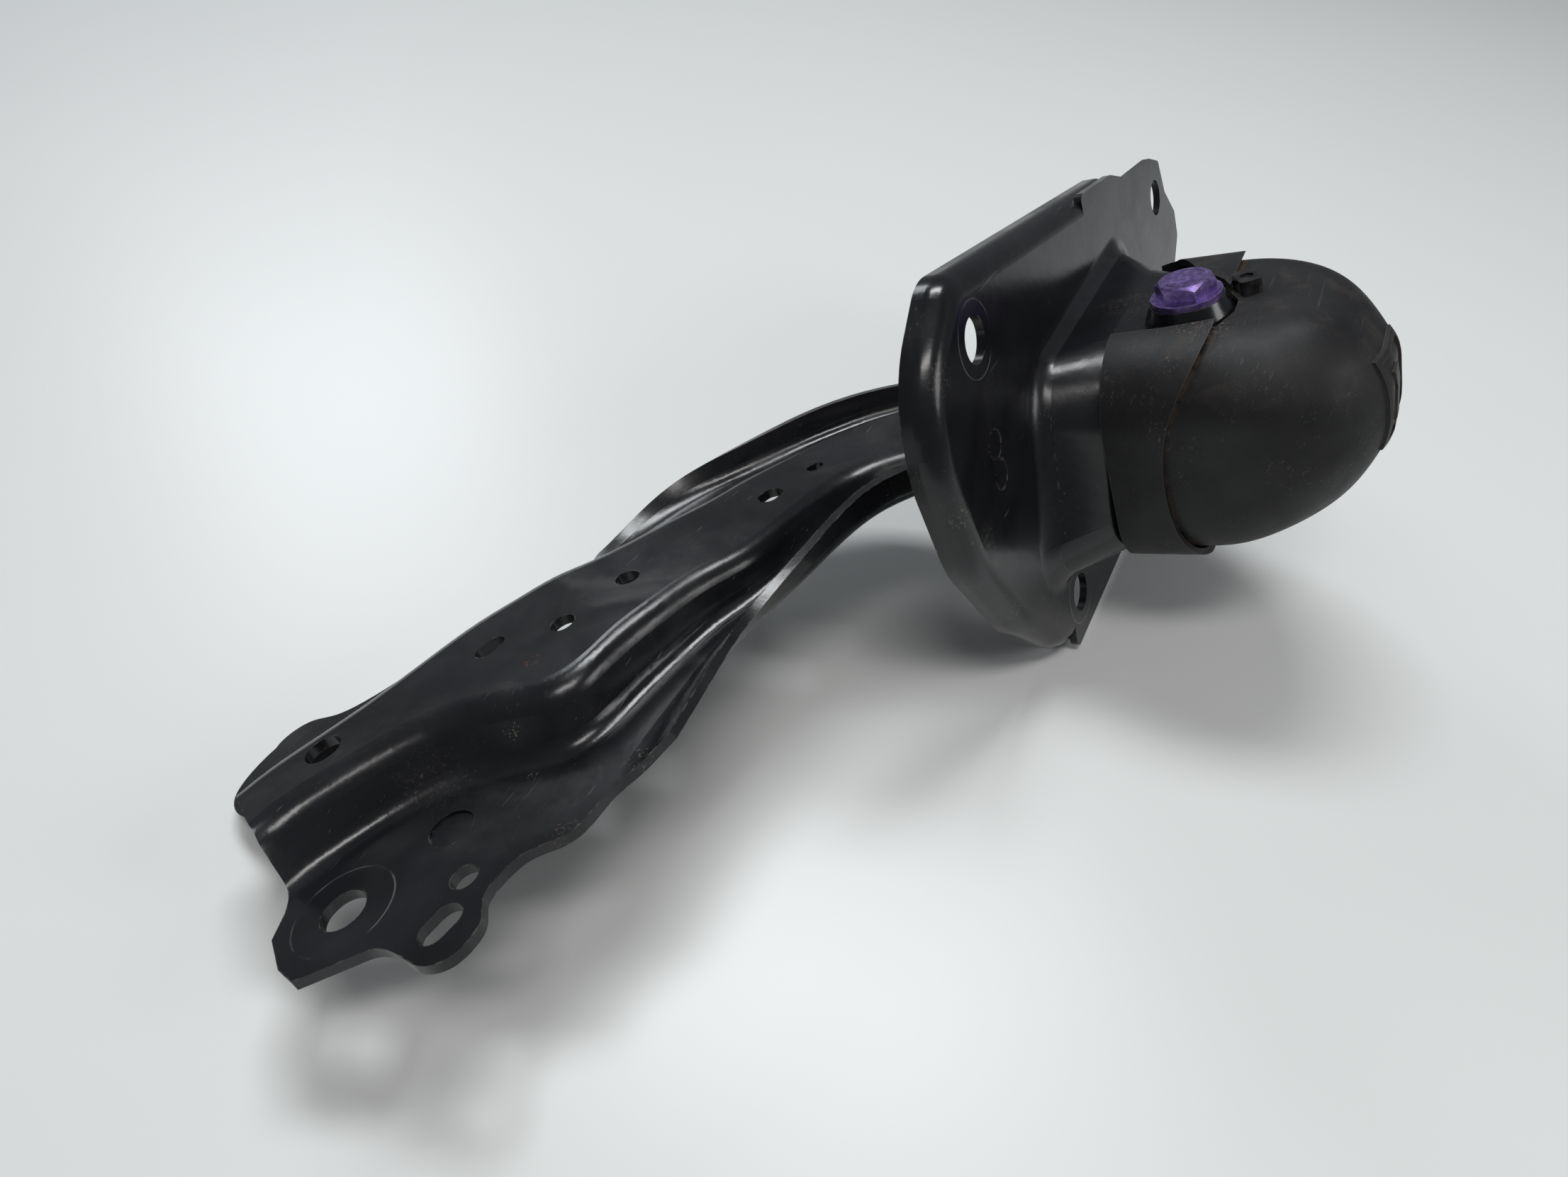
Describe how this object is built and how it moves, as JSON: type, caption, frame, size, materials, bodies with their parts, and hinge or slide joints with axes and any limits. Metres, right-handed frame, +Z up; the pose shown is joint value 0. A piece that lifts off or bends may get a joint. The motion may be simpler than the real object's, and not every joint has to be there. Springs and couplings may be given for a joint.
{
  "type": "rear trailing control arm",
  "caption": "Pressed steel trailing arm with a flanged knuckle end, turning on a rubber bush inside a flanged mounting bracket with a domed cover.",
  "frame": {"origin": "centre of the first fixing hole of the flange, in the middle of the sheet", "axes": "+Z up as the part lies on a flat surface; +Y along the bracket flange, away from the arm's side; +X along the level direction from the flange to the cover; the pivot axis leans towards -X by the rest tilt"},
  "size_m": [0.3153, 0.4752, 0.1575],
  "materials": {
    "arm_paint": "semi-gloss black paint",
    "eye_paint": "semi-gloss black paint",
    "weld_paint": "painted weld",
    "sleeve_steel": "bare steel",
    "bush_rubber": "moulded rubber",
    "bracket_paint": "semi-gloss black paint, dusty",
    "bolt_zinc": "dark plated steel",
    "cover_plastic": "matt black moulding",
    "latch_plastic": "glossy black moulding"
  },
  "bodies": {
    "bracket": {"mount_bracket": "bracket_paint", "bush_inner_sleeve": "sleeve_steel", "pivot_bolt": "bolt_zinc", "nut_washer": "bolt_zinc", "pivot_nut": "bolt_zinc", "cover_near_side": "cover_plastic", "cover_far_side": "cover_plastic", "cover_dome": "cover_plastic", "cover_tip_mark": "cover_plastic", "cover_latch": "latch_plastic"},
    "arm": {"trailing_arm": "arm_paint", "eye_tube": "eye_paint", "eye_weld": "weld_paint", "bush_outer_sleeve": "sleeve_steel", "bush_rubber": "bush_rubber"}
  },
  "joints": [
    {"name": "bush_pivot", "type": "hinge", "parent": "bracket", "child": "arm", "pos_m": [0.06872, 0.0763, -0.04562], "axis": [-0.3858, 0, 0.9226], "range_deg": [-24, 0.5], "stiffness_Nm_per_rad": 120}
  ]
}
